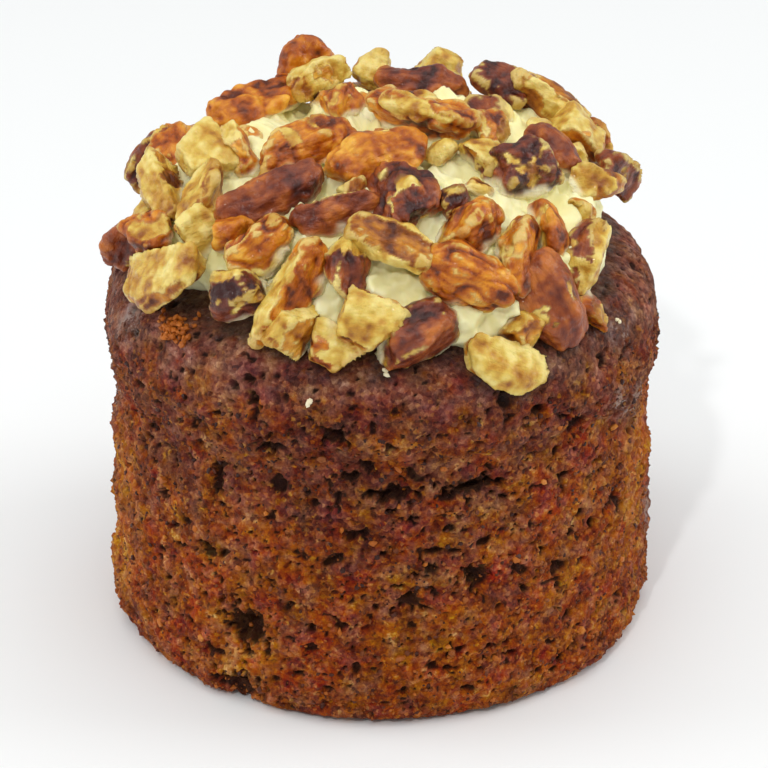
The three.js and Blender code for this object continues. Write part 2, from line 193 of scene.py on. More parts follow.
# %% [markdown]
# The sponge's surface
#
# A sponge baked in a ring is a turned shape, so a fine grid spun round the axis
# follows it with even faces. A remesh would work too, but it spends as many
# faces on the hidden top as on the side. The outline here is only a guide: every
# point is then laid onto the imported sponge, so the crease, the bulge and the
# large torn spots come from the model itself.

# %% Spin the sponge
SPIN_STEPS = 590
WEDGES = 10
# Radius and height of each corner, and the spacing of points from there on
SPONGE_GUIDE = [
    (0, 0, 9),
    (30, 0, 2),
    (36, 0, 0.5),
    (38, 2.5, 0.38),
    (37.6, 20, 0.38),
    (36.5, 36, 0.38),
    (38, 43, 0.38),
    (37, 49.5, 0.38),
    (33, 52.5, 0.5),
    (29, 54, 3),
    (18, 56, 9),
    (0, 57.5, 0),
]


def fine_outline(corners):
    points = []
    for (r, z, spacing), (next_r, next_z, _) in zip(corners, corners[1:]):
        count = max(1, round(math.hypot(next_r - r, next_z - z) / spacing))
        for step in range(count):
            share = step / count
            points.append((r + (next_r - r) * share, z + (next_z - z) * share))
    points.append(corners[-1][:2])
    return points


def spun(outline, steps):
    """A closed surface: an outline of radii and heights in mm, spun round Z."""
    bm = bmesh.new()
    verts = [bm.verts.new((0, -r * MM, z * MM)) for r, z in outline]
    edges = [bm.edges.new(pair) for pair in zip(verts, verts[1:])]
    bmesh.ops.spin(
        bm,
        geom=verts + edges,
        cent=(0, 0, 0),
        axis=(0, 0, 1),
        angle=math.tau / WEDGES,
        steps=steps // WEDGES,
        use_merge=False,
    )
    wedge = bm.verts[:] + bm.edges[:] + bm.faces[:]
    for turn in range(1, WEDGES):
        copy = bmesh.ops.duplicate(bm, geom=wedge)["geom"]
        bmesh.ops.rotate(
            bm,
            cent=(0, 0, 0),
            matrix=Matrix.Rotation(turn * math.tau / WEDGES, 3, "Z"),
            verts=[part for part in copy if isinstance(part, bmesh.types.BMVert)],
        )
    bmesh.ops.remove_doubles(bm, verts=bm.verts, dist=MERGE_DISTANCE * MM)
    bmesh.ops.recalc_face_normals(bm, faces=bm.faces)
    return bm


sponge_tree = BVHTree.FromBMesh(merged_copy("sponge"))
sponge = spun(fine_outline(SPONGE_GUIDE), SPIN_STEPS)
for vert in sponge.verts:
    vert.co = sponge_tree.find_nearest(vert.co)[0]
smooth_mesh(sponge, 1, 0.5)
sponge.normal_update()
print("sponge grid:", len(sponge.verts), "points")

# %% [markdown]
# Crumb and crust
#
# Below the crease the side was pulled from its ring, so it is open crumb: clumps
# of a few millimetres, grains between them, and pits where a clump stayed
# behind. Above it is crust, which is smooth but full of burst bubbles. Cellular
# noise gives grains, because its cells meet in creases as real crumbs do, and
# plain noise gives the pits. Points move along the surface's own direction, and
# each keeps values that its material needs: how much it is crust, how deep it
# is, how browned it is, with painted shade at front and back and painted light
# at the sides, whether the crumb is golden, whether it is wet, with a painted
# sheen, and how near the topping it is, where it gets painted shade and gloss.

# %% Work the crumb
SIDE_RADIUS = 38
RAY_START = 60
CRUST_FROM = 47
CRUST_BLEND = 3
CRUST_RAGGEDNESS = 4
# Height of the browned line at front and back, where it darkens the crumb partly as painted shade,
# and how much higher it lies at the sides, as painted light
BROWN_AND_SHADE_FROM = 22
LIT_SIDE_RISE = 11
# Where the side is golden, and where it is wet with a painted sheen: azimuth, height and reach
GOLDEN_SPOTS = [
    (72, 29, 7),
    (68, 20, 5),
    (-78, 12, 7),
    (-70, 26, 5),
    (-30, 8, 4),
    (150, 15, 9),
]
WET_AND_SHEEN_SPOTS = [
    (56, 40, 2.4),
    (62, 38, 2.6),
    (68, 36.5, 2.8),
    (-80, 38, 4),
    (-86, 34, 4),
    (84, 15, 4),
    (60, 50, 3),
    (-66, 50, 3),
]
# How far from the topping the crust gets painted shade and gloss, in mm
NEAR_TOPPING_REACH = 1.7
SPONGE_VALUES = ("crust", "hollow", "browned", "golden", "wet", "sticky")


def azimuth_of(place):
    return math.degrees(math.atan2(place.x, -place.y))


def outward_at(azimuth):
    """The level way out of the cake, where 0 degrees is the front."""
    angle = math.radians(azimuth)
    return Vector((math.sin(angle), -math.cos(angle), 0))


def hit_from_side(tree, azimuth, height):
    """Where a level ray from outside meets a surface, and the normal there."""
    outward = outward_at(azimuth)
    far = outward * RAY_START * MM + Vector((0, 0, height * MM))
    return tree.ray_cast(far, -outward)[:2]


def hump(place, middle, reach):
    """1 in the middle of a soft spot, and 0 away from it."""
    return math.exp(-(((place - middle).length / reach) ** 2))


def spot_share(place, spots):
    return max(
        hump(place, outward_at(azimuth) * SIDE_RADIUS + Vector((0, 0, height)), reach)
        for azimuth, height, reach in spots
    )


def crust_share(place):
    """1 on the browned crust and 0 on the torn crumb, with a ragged border."""
    ragged = CRUST_RAGGEDNESS * noise(place * 0.12) + 2 * noise(place * 0.5)
    return smoothstep(place.z + ragged, CRUST_FROM - CRUST_BLEND, CRUST_FROM + CRUST_BLEND)


def browned_and_shaded_share(place):
    """1 on browned crumb, with painted shade at front and back and painted light at the sides."""
    sideways = math.sin(math.radians(azimuth_of(place))) ** 2
    ragged = 14 * noise(place * 0.07) + 8 * noise(place * 0.22)
    line = BROWN_AND_SHADE_FROM + LIT_SIDE_RISE * sideways
    return smoothstep(place.z + ragged, line - 8, line + 16)


def cell_edge(place):
    """0 where two cells of about one unit meet, and 1 well inside a cell."""
    near, second = voronoi(place)[0][:2]
    return min(1, 2.2 * (second - near))


def crumb_relief(place):
    """How far torn crumb stands out, in mm, and how deep its pits are, 0 to 1."""
    torn = Vector((place.x, place.y, place.z * 1.4))
    clumps = 0.5 * noise(torn * 0.2) + 0.4 * noise(torn * 0.55)
    grains = 0.34 * cell_edge(torn / 1.7) + 0.3 * cell_edge(place / 0.85)
    pit = smoothstep(noise(torn * 0.45 + Vector((9, 0, 0))), 0.36, 0.6)
    small_pit = smoothstep(noise(torn * 1.15 + Vector((0, 7, 0))), 0.36, 0.58)
    return clumps + grains - 0.45 - 1.0 * pit - 0.5 * small_pit, max(pit, small_pit)


def crust_relief(place):
    """The same for crust, which only swells and puckers a little."""
    swell = 0.4 * noise(place * 0.17) + 0.16 * noise(place * 0.6)
    grains = 0.1 * cell_edge(place / 1.1) + 0.1 * noise(place * 1.4)
    pit = smoothstep(noise(place * 0.9 + Vector((0, 5, 0))), 0.42, 0.6)
    return swell + grains - 0.5 * pit, pit


topping = bmesh.new()
for name in ["frosting"] + pecan_names:
    topping.from_mesh(frame["nodes"][name].data)
topping_tree = BVHTree.FromBMesh(topping)


def topping_shade_and_gloss_share(place):
    """1 next to the topping, where the crust gets painted shade and gloss, 0 away from it."""
    if place.z < CRUST_FROM - 2 * CRUST_BLEND:
        return 0
    gap = topping_tree.find_nearest(place * MM)[3] / MM
    gap = max(0, gap + 1.2 * noise(place * 0.4))
    return math.exp(-((gap / NEAR_TOPPING_REACH) ** 2))


rows = []
for vert in sponge.verts:
    place = vert.co / MM
    crust = crust_share(place)
    crumb_out, crumb_pit = crumb_relief(place)
    crust_out, crust_pit = crust_relief(place)
    off_floor = smoothstep(place.z, 0.2, 1.5)
    out = crumb_out + (crust_out - crumb_out) * crust
    vert.co += vert.normal * (out * (0.25 + 0.75 * off_floor)) * MM
    vert.co.z = max(vert.co.z, 0)
    hollow = crumb_pit + (crust_pit - crumb_pit) * crust
    golden, wet = spot_share(place, GOLDEN_SPOTS), spot_share(place, WET_AND_SHEEN_SPOTS)
    rows.append((crust, hollow, browned_and_shaded_share(place), golden, wet, topping_shade_and_gloss_share(place)))
values = dict(zip(SPONGE_VALUES, np.transpose(rows)))
for name, numbers in values.items():
    print("mean of", name, round(float(numbers.mean()), 2))

# %% [markdown]
# Holes, slits and burst bubbles
#
# The photograph shows some dark holes that catch the eye, and these are listed
# one by one. All over the crust, smaller bubbles have burst, and the crumb below
# has small cuts, at places drawn with a fixed seed. A tree of the points finds
# those near each hole quickly.

# %% Sink the holes
# Azimuth, height, width, tallness and depth
HOLES = [
    (-29, 12.4, 4.6, 5.0, 3.0),
    (-31, 2.5, 5.0, 4.0, 1.6),
    (3, 35.2, 4.4, 1.4, 2.4),
    (19, 34.9, 5.4, 1.6, 2.6),
    (-9, 43.8, 2.6, 2.2, 2.2),
    (-38, 22.3, 2.2, 2.2, 1.6),
    (25, 47.2, 2.0, 1.8, 1.6),
    (20, 21.8, 3.4, 2.4, 1.5),
    (10, 23.9, 2.2, 1.8, 1.3),
    (39, 19.7, 2.0, 2.0, 1.3),
    (6, 19.3, 2.2, 2.4, 1.3),
    (-22, 40.9, 3.0, 1.6, 1.8),
    (-36, 33.4, 1.6, 3.4, 1.4),
    (-3, 38.6, 1.8, 1.4, 1.6),
    (-6, 37.4, 2.6, 1.0, 1.6),
    (-26, 46.9, 1.5, 1.2, 1.5),
    (-28, 49.3, 1.3, 1.1, 1.5),
    (-40, 41.5, 1.8, 1.4, 1.3),
    (33, 44.5, 2.6, 1.6, 1.4),
    (44, 40.2, 2.4, 1.8, 1.3),
    (52, 47.5, 1.8, 1.6, 1.5),
    (96, 14, 4.4, 3.6, 1.6),
    (137, 27, 4.2, 2.6, 1.6),
    (171, 8, 4.6, 4.2, 2.0),
    (-160, 36, 7.0, 1.8, 2.0),
    (-122, 22, 4.0, 3.2, 1.6),
    (-88, 12, 3.6, 4.2, 1.6),
    (118, 45, 2.4, 2.0, 1.6),
    (-104, 47, 2.2, 1.8, 1.6),
]
HOLE_SEED = 11
BUBBLE_COUNT = 90
BUBBLE_HEIGHTS = (41, 52.5)
BUBBLE_DEPTH = 0.8
CUT_COUNT = 70
CUT_HEIGHTS = (3, 42)
CUT_DEPTH = 1.1

random.seed(HOLE_SEED)
for _ in range(BUBBLE_COUNT):
    width = random.uniform(0.7, 1.3)
    at = (random.uniform(-180, 180), random.uniform(*BUBBLE_HEIGHTS))
    HOLES.append((*at, width, width * 0.9, BUBBLE_DEPTH))
for _ in range(CUT_COUNT):
    width = random.uniform(0.9, 2.2)
    tallness = random.uniform(0.7, 1.2)
    at = (random.uniform(-180, 180), random.uniform(*CUT_HEIGHTS))
    HOLES.append((*at, width, tallness, CUT_DEPTH))

points = KDTree(len(sponge.verts))
for index, vert in enumerate(sponge.verts):
    points.insert(vert.co, index)
points.balance()
sponge.verts.ensure_lookup_table()
for azimuth, height, width, tallness, depth in HOLES:
    middle, _ = hit_from_side(sponge_tree, azimuth, height)
    level = outward_at(azimuth + 90)
    for _, index, _ in points.find_range(middle, max(width, tallness) * MM):
        vert = sponge.verts[index]
        offset = (vert.co - middle) / MM
        ragged = 1 + 0.9 * noise(vert.co / MM * 0.9) + 0.5 * noise(vert.co / MM * 2)
        across = offset.dot(level) / (width / 2) * ragged
        up = offset.z / (tallness / 2) * ragged
        sunk = math.exp(-((across**2 + up**2) ** 1.5))
        vert.co -= vert.normal * depth * sunk * MM
        values["hollow"][index] = max(values["hollow"][index], min(1, sunk * depth))
for vert in sponge.verts:
    vert.co.z = max(vert.co.z, 0)
print("holes:", len(HOLES))

# %% Finish the sponge's mesh
sponge_mesh = mesh_from(sponge, "sponge_crumb")
for name, numbers in values.items():
    set_values(sponge_mesh, name, numbers)
sponge_piece = finished_piece("sponge_crumb", sponge_mesh, "sponge", ["sponge"])

# %% [markdown]
# Grains on the side
#
# A surface alone can't show crumbs that stand free of it. A few thousand grains
# of twenty faces each are enough: one icosphere is copied with an Array
# modifier, and then every copy is squeezed, turned and set on the side. Most are
# small and sunk in, some are larger and lighter, a heap of them is the lump that
# tore from the rim, and a few are crumbs of frosting. They are joined in one
# mesh, which costs far less than an object for each.

# %% Copies of a small shape
def scattered(name, template, matrices):
    """One mesh in which a copy of the template lies at each matrix, in mm."""
    mesh = evaluated_mesh(
        template,
        "ARRAY",
        count=len(matrices),
        use_relative_offset=False,
        use_constant_offset=True,
        constant_offset_displace=(0, 0, 0),
    )
    places = coordinates(mesh).reshape(len(matrices), -1, 3)
    turns = np.array([m.to_3x3() for m in matrices])
    seats = np.array([m.translation for m in matrices])
    places = np.einsum("nij,nvj->nvi", turns, places) + seats[:, None]
    set_coordinates(mesh, places.reshape(-1, 3))
    mesh.name = name
    return mesh


# %% Scatter the grains
GRAIN_SEED = 23
GRAIN_COUNT = 7000
SUNK_SHARE = 0.35
CRUMB_COUNT = 150
LUMP_COUNT = 150
LUMP_AT = (-50, 51.4)
LUMP_LIFT = 1.1
# Crumbs of frosting that fell on the crust: azimuth, height and size
PALE_CRUMBS = [(-14, 48.3, 0.4), (1, 51.6, 0.35), (60, 50.5, 0.25)]
PALE_PIECES = 4
PALE_TONE = 1.7
ABOVE_FLOOR = 0.05
JITTER_SEED = 5

sponge_surface = BVHTree.FromBMesh(sponge)


def seat_on_sponge(azimuth, height):
    """Where a grain sits on the crumb, in mm, and the way out of it."""
    place, normal = hit_from_side(sponge_surface, azimuth, height)
    return place / MM, normal


def loose_matrix(place, normal, size, spread, most_lift=0):
    """Stretches, lifts and turns a grain of about one size at random on its seat."""
    sizes = [size * random.uniform(*spread) for _ in range(3)]
    if most_lift:
        place = place + normal * random.uniform(0, most_lift)
    turn = normal.to_track_quat("Z", "Y").to_matrix()
    spin = Matrix.Rotation(random.uniform(0, math.tau), 3, "Z")
    tilt = Matrix.Rotation(random.uniform(-0.5, 0.5), 3, "X")
    shape = turn @ spin @ tilt @ Matrix.Diagonal(sizes)
    return Matrix.Translation(place) @ shape.to_4x4()


random.seed(GRAIN_SEED)
grain_matrices, grain_tones = [], []
for _ in range(GRAIN_COUNT):
    height = 0.8 + 46 * random.random() ** 1.3
    place, normal = seat_on_sponge(random.uniform(-180, 180), height)
    size = 0.12 + 0.28 * random.random() ** 2.5
    sunk = place - normal * size * SUNK_SHARE
    grain_matrices.append(loose_matrix(sunk, normal, size, (0.7, 1.5)))
    # Grains are darker where the crumb is browned, which includes the painted shade at front and
    # back
    grain_tones.append(random.random() - 0.45 * browned_and_shaded_share(place))
for _ in range(CRUMB_COUNT):
    place, normal = seat_on_sponge(random.uniform(-180, 180), 1 + 40 * random.random())
    size = random.uniform(0.3, 0.62)
    grain_matrices.append(loose_matrix(place, normal, size, (0.6, 1.3)))
    grain_tones.append(random.uniform(0.5, 1.25))
for _ in range(LUMP_COUNT):
    at = (LUMP_AT[0] + random.gauss(0, 2.2), LUMP_AT[1] + random.gauss(0, 0.45))
    place, normal = seat_on_sponge(*at)
    size = random.uniform(0.16, 0.42)
    grain_matrices.append(loose_matrix(place, normal, size, (0.5, 1.5), LUMP_LIFT))
    grain_tones.append(random.uniform(0.85, 1.1))
for azimuth, height, size in PALE_CRUMBS:
    for _ in range(PALE_PIECES):
        at = (azimuth + random.gauss(0, 0.25), height + random.gauss(0, 0.12))
        place, normal = seat_on_sponge(*at)
        raised = place + normal * size * 0.3
        grain_matrices.append(loose_matrix(raised, normal, size, (0.6, 1.4)))
        grain_tones.append(PALE_TONE)

grain_bm = bmesh.new()
bmesh.ops.create_icosphere(grain_bm, subdivisions=1, radius=1 * MM)
grain_ball = mesh_from(grain_bm, "grain")
grain_mesh = scattered("sponge_grains", grain_ball, grain_matrices)
each_point = (len(grain_matrices), len(grain_ball.vertices))
jitter = np.random.default_rng(JITTER_SEED).uniform(0.75, 1.25, (*each_point, 1))
grain_places = coordinates(grain_mesh).reshape(*each_point, 3)
grain_middles = grain_places.mean(1, keepdims=True)
grain_places = grain_middles + (grain_places - grain_middles) * jitter
grain_places[:, :, 2] = np.maximum(grain_places[:, :, 2], ABOVE_FLOOR)
set_coordinates(grain_mesh, grain_places.reshape(-1, 3))
set_values(grain_mesh, "grain_tone", np.repeat(grain_tones, len(grain_ball.vertices)))
grain_piece = finished_piece("sponge_grains", grain_mesh, "sponge", ["sponge"])
grain_mesh.shade_flat()

# %% [markdown]
# The curve of the mound
#
# Nuts and bits lie on the frosting, and frosting clings to them, so the mound's
# curve is needed before all three. It is a superellipse turned round the axis:
# steeper at its edge and flatter on top than a dome, as a spread mound is.

# %% The mound's curve
MOUND_RADIUS = 33.4
MOUND_FOOT = 49.5
MOUND_RISE = 20.3
MOUND_SQUARENESS = 2.6


def above_mound(place):
    """About how far a place is outside the frosting's surface, in mm."""
    across = math.hypot(place.x, place.y) / MOUND_RADIUS
    up = max(0, place.z - MOUND_FOOT) / MOUND_RISE
    level = (across**MOUND_SQUARENESS + up**MOUND_SQUARENESS) ** (1 / MOUND_SQUARENESS)
    return (level - 1) * (MOUND_RADIUS + MOUND_RISE) / 2


def mound_seat(azimuth, distance):
    """A matrix in mm whose Z points out of the frosting and whose Y is uphill."""
    share = distance / MOUND_RADIUS
    rise = max(0, 1 - share**MOUND_SQUARENESS) ** (1 / MOUND_SQUARENESS)
    outward = share ** (MOUND_SQUARENESS - 1) / MOUND_RADIUS
    upward = rise ** (MOUND_SQUARENESS - 1) / MOUND_RISE
    return (
        Matrix.Rotation(math.radians(azimuth), 4, "Z")
        @ Matrix.Translation((0, -distance, MOUND_FOOT + rise * MOUND_RISE))
        @ Matrix.Rotation(math.atan2(outward, upward), 4, "X")
    )


# %% [markdown]
# Chopped pecans
#
# Each packed pecan is a block with flat facets, already in its place and at its
# size. A voxel remesh turns it into an even skin of fine faces, which smoothing
# rounds as a blade and a little oil round a real nut. Long ridges then run along
# the nut's own length, which the spread of its points gives. Where the knife
# went through, the CAD has a large flat face, and so the flesh shows there. It
# also shows where skin is rubbed off along edges, which are the places that
# stand out from a much smoother copy of the nut.

# %% How each pecan looks
SIDES = {
    "up": (0, -0.2, 1),
    "front": (0, -1, 0.3),
    "left": (-1, -0.3, 0.2),
    "right": (1, -0.3, 0.2),
    "down": (0, -0.5, -1),
    "back": (0, 1, 0.4),
}
COMMON_WRINKLE = 0.4
# By number: skin from light 0 to dark 1, the side where flesh shows or its rim,
# how much of it shows, and how wrinkled the skin is, if not as on most nuts
PECAN_LOOKS = {
    1: (0.6, "up", 0),
    2: (0.2, "up", 0.4),
    3: (0.4, "front", 0.45),
    4: (0.45, "up", 0, 0.8),
    5: (0.5, "up", 0.05),
    6: (0.15, "up", 0.7),
    7: (0.25, "up", 0.2),
    8: (0.75, "left", 0.1),
    9: (0.35, "left", 0.15),
    10: (0.6, "left", 0.3),
    11: (0.35, "left", 0.45),
    12: (0.35, "up", 0, 0.3),
    13: (0.4, "down", 0.2, 0.6),
    14: (0.42, "up", 0, 0.15),
    15: (0.6, "up", 0, 1.0),
    16: (0.5, "rim", 0.3, 0.9),
    17: (0.45, "right", 0.05),
    18: (0.45, "up", 0, 0.5),
    19: (0.6, "up", 0.3),
    20: (0.75, "back", 0.1),
    21: (0.4, "rim", 0.5),
    22: (0.4, "up", 0.35),
    23: (0.4, "up", 0.1),
    24: (0.2, "up", 0, 0.2),
    25: (0.85, "rim", 0.07, 0.6),
    26: (0.4, "up", 0.4),
    27: (0.3, "left", 0.35),
    28: (0.5, "right", 0.15),
    29: (0.7, "up", 0.05),
    30: (0.5, "left", 0.22, 0.6),
    31: (0.55, "left", 0.15),
    32: (0.55, "up", 0),
    33: (0.3, "right", 0.4),
    34: (0.4, "left", 0.1, 0.8),
    35: (0.25, "up", 0, 0.2),
    36: (0.3, "right", 0.15),
    37: (0.25, "up", 0.22),
    38: (0.6, "front", 0.5),
    39: (0.4, "left", 0.08, 0.2),
    40: (0.6, "rim", 0.5),
    41: (0.65, "up", 0.05, 0.6),
    42: (0.55, "up", 0),
    43: (0.6, "front", 0.33),
    44: (0.6, "up", 0.5),
    45: (0.9, "up", 0.15),
    46: (0.5, "up", 0),
    47: (0.6, "rim", 0.25, 0.9),
    48: (0.4, "left", 0.22, 0.6),
    49: (0.4, "up", 0.42),
    50: (0.6, "up", 0.25),
    51: (0.6, "up", 0.2),
    52: (0.6, "front", 0.38),
    53: (0.4, "up", 0),
}
HIDDEN_LOOK = (0.5, "up", 0.25, 0.5)

# %% Turn a block into a nut
NUT_VOXEL = 0.25
NUT_ROUNDING = 3
NUT_GROWTH = 1.08
NUT_SWELL = 0.12
SKIN_STEP = 0.12
LEAST_CUT_AREA = 7
BROAD_STEPS = 16
COMMON_HEIGHT = 0.06
EDGE_HEIGHT = 0.12
# How much lighter edges are, and how much painted shade the hollows get
EDGE_TONE_AND_HOLLOW_SHADE = 0.22
RIM_FLESH = 0.85
NUT_VALUES = ("flesh", "crease_shade_and_edge_tone", "smear", "shade")


def cut_faces(bm):
    """For each face, whether it belongs to a flat face that a knife left."""
    areas = {}
    keys = []
    for face in bm.faces:
        offset = face.normal.dot(face.calc_center_median()) / MM
        key = tuple(round(c * 25) for c in face.normal) + (round(offset * 4),)
        areas[key] = areas.get(key, 0) + face.calc_area() / MM**2
        keys.append(key)
    return [areas[key] > LEAST_CUT_AREA for key in keys]


def own_axes(places):
    """The middle of some points, and their directions from longest to shortest."""
    middle = places.mean(0)
    _, axes = np.linalg.eigh(np.cov((places - middle).T))
    return middle, axes[:, ::-1]


def edge_values(bm):
    """For each vertex, from -1 in a hollow to 1 on an edge of the nut."""
    broad = bm.copy()
    smooth_mesh(broad, BROAD_STEPS, 0.5)
    bm.normal_update()
    heights = [
        (vert.co - low.co).dot(vert.normal) / MM for vert, low in zip(bm.verts, broad.verts)
    ]
    return [min(1, max(-1, (height - COMMON_HEIGHT) / EDGE_HEIGHT)) for height in heights]


def finish_nut(bm, seed, is_cut, shade, side, flesh_share, wrinkle=COMMON_WRINKLE):
    """Wrinkles a smooth nut and gives its mesh the values for its material."""
    places = np.array([v.co for v in bm.verts]) / MM
    middle, axes = own_axes(places)
    own = (places - middle) @ axes
    half_width = abs(own[:, 1]).max()
    shift = Vector((seed * 7.3, 0, 0))
    rows = []
    for vert, (u, v, w) in zip(bm.verts, own):
        place = vert.co / MM
        patch = noise(place * 0.3 + shift) + 0.16 * noise(place * 1.3 + shift)
        if side == "rim":
            turned = 2 * abs(v) / half_width - 1
        else:
            turned = vert.normal.dot(Vector(SIDES[side]).normalized())
        border = 1 - 1.6 * flesh_share
        flesh = smoothstep(turned + 0.5 * patch, border, border + 0.06) if flesh_share else 0
        if is_cut(vert.co):
            border = 0.28 - 1.1 * flesh_share
            flesh = max(flesh, smoothstep(patch, border, border + 0.05))
        lobes = noise(Vector((u * 0.2, v * 0.36, w * 0.36)) + shift)
        lumps = min(0.32, abs(noise(Vector((u * 0.25, v * 0.36, w * 0.36)) + shift * 2)))
        lines = min(0.2, abs(noise(Vector((u * 0.14, v * 0.6, w * 0.6)) + shift * 3)))
        fine = noise(Vector((u * 0.9, v * 1.3, w * 1.3)) + shift)
        skin_out = 0.6 * lobes + 0.22 * fine + SKIN_STEP
        skin_out += wrinkle * (1.9 * (lumps - 0.2) + 0.9 * (lines - 0.1))
        dents = voronoi(place / 2.6 + shift)[0][0]
        flesh_out = 0.5 * (0.45 - dents) + 0.2 * noise(place * 0.9)
        vert.co += vert.normal * (skin_out + (flesh_out - skin_out) * flesh + NUT_SWELL) * MM
        wet = above_mound(place) + 1.6 * noise(place * 0.35 + shift)
        smear = 0.9 - 0.9 * smoothstep(wet, -0.4, 0.8)
        # The skin's grooves get painted shade
        crease_shade_and_edge_tone = wrinkle * (max(0, 0.12 - lumps) * 2.5 + max(0, 0.06 - lines) * 3) * (1 - flesh)
        rows.append([flesh, crease_shade_and_edge_tone, smear, shade])
    for row, vert, edge in zip(rows, bm.verts, edge_values(bm)):
        rim = edge + 0.6 * noise(vert.co / MM * 0.35 + shift)
        rim = smoothstep(rim, 0.95 - 1.1 * flesh_share, 1.12 - 1.1 * flesh_share)
        if flesh_share:
            row[0] = max(row[0], RIM_FLESH * rim)
        row[1] -= EDGE_TONE_AND_HOLLOW_SHADE * edge
    mesh = mesh_from(bm, "nut")
    set_values(mesh, "nut_own", own + seed * 3.1)
    for name, numbers in zip(NUT_VALUES, np.transpose(rows)):
        set_values(mesh, name, numbers)
    return mesh


def pecan_mesh(name, seed):
    block = merged_copy(name)
    block_tree = BVHTree.FromBMesh(block)
    cut = cut_faces(block)
    block_mesh = mesh_from(block, "block")
    bm = bmesh.new()
    bm.from_mesh(evaluated_mesh(block_mesh, "REMESH", mode="VOXEL", voxel_size=NUT_VOXEL * MM))
    smooth_mesh(bm, NUT_ROUNDING, 0.6)
    middle = sum((vert.co for vert in bm.verts), Vector()) / len(bm.verts)
    growth = [NUT_GROWTH] * 3
    bmesh.ops.scale(bm, vec=growth, space=Matrix.Translation(-middle), verts=bm.verts)
    bm.normal_update()
    look = PECAN_LOOKS.get(int(name[-2:]), HIDDEN_LOOK)
    return finish_nut(bm, seed, lambda at: cut[block_tree.find_nearest(at)[2]], *look)


pecan_pieces = []
for seed, name in enumerate(pecan_names):
    mesh = pecan_mesh(name, seed)
    piece = finished_piece(name.replace("pecan", "nut"), mesh, slots[name], [name])
    pecan_pieces.append(piece)
print("nuts:", len(pecan_pieces))

# %% [markdown]
# Bits between the nuts
#
# Chopping also leaves small bits, which are fused to the frosting in the packed
# model. They lie on a spiral by the golden angle wherever the large nuts leave
# room, and here the same rule gives their places again. A ball with a few
# flats, made by pressing the points that lie beyond a plane back onto it, is
# already a convincing scrap of nut.

# %% Make the bits
BIT_SEED = 31
BIT_COUNT = 66
BIT_CROWDING = 0.4
BIT_REACH = 0.98 * MOUND_RADIUS
BIT_OVERREACH = 1
SMALLEST_BIT = 1.3
LARGEST_BIT = 3.4
BIT_TURN = 77
BIT_LIFT = 0.2
BIT_GROWTH = 1.15
BIT_FLATS = 8
BIT_WRINKLE = 0.15
GOLDEN_ANGLE = 137.508


def distance_to_box(place, box):
    low, high = box
    nearest = Vector([min(max(p, l / MM), h / MM) for p, l, h in zip(place, low, high)])
    return (place - nearest).length


pecan_boxes = [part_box(name) for name in pecan_names]
bit_meshes = {"pecan_amber": [], "pecan_pale": [], "pecan_dark": []}
random.seed(BIT_SEED)
for i in range(BIT_COUNT):
    distance = BIT_REACH * ((i + 0.5) / BIT_COUNT) ** BIT_CROWDING
    seat = mound_seat(i * GOLDEN_ANGLE, distance) @ Matrix.Translation((0, 0, BIT_LIFT))
    room = min(distance_to_box(seat.translation, box) for box in pecan_boxes)
    radius = min(room + BIT_OVERREACH, LARGEST_BIT * (0.6 + 0.1 * (i % 5)))
    if room == 0 or radius < SMALLEST_BIT:
        continue
    bm = bmesh.new()
    bmesh.ops.create_icosphere(bm, subdivisions=4, radius=1)
    planes = []
    for _ in range(BIT_FLATS):
        facing = Vector([random.uniform(-1, 1) for _ in range(3)]).normalized()
        planes.append((facing, random.uniform(0.4, 0.7)))
    for vert in bm.verts:
        for facing, limit in planes:
            beyond = vert.co.dot(facing) - limit
            vert.co -= facing * max(0, beyond)
    turn = Matrix.Rotation(math.radians(i * BIT_TURN), 4, "Z")
    size = radius * BIT_GROWTH
    sizes = Matrix.Diagonal((size * 1.15, size * random.uniform(0.7, 1), size * 0.75, 1))
    bmesh.ops.transform(bm, matrix=Matrix.Scale(MM, 4) @ seat @ turn @ sizes, verts=bm.verts)
    smooth_mesh(bm, 2, 0.5)
    bm.normal_update()
    slot = random.choice(list(bit_meshes))
    side = random.choice(["up", "front", "left", "right"])
    shade = random.uniform(0.2, 0.8)
    flesh_share = random.uniform(0.1, 0.6)
    look = (shade, side, flesh_share, BIT_WRINKLE)
    bit_meshes[slot].append(finish_nut(bm, 100 + i, lambda at: False, *look))

bit_pieces = []
for slot, meshes in bit_meshes.items():
    bm = bmesh.new()
    for mesh in meshes:
        bm.from_mesh(mesh)
    name = slot.replace("pecan", "bits")
    bit_pieces.append(finished_piece(name, mesh_from(bm, name), slot, ["frosting"]))

# %% [markdown]
# The frosting
#
# Cream cheese frosting is soft but holds its shape, so the mound has folds and
# small peaks, and it creeps up round every nut that was pressed into it. The
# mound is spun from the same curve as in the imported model. Dabs stand up where
# the photograph shows frosting between the nuts, and the foot is pulled in, so
# that the nuts along the rim overhang it. Then every point looks for the nearest
# nut, and rises more the nearer it is.

# %% Spin and press the frosting
MOUND_STEPS = 520
MOUND_ROWS = 96
CREEP_HEIGHT = 0.9
CREEP_WIDTH = 1.1
FROSTING_SINK = 1.3
FOOT_TUCK = 3.8
FOOT_HEIGHT = 8
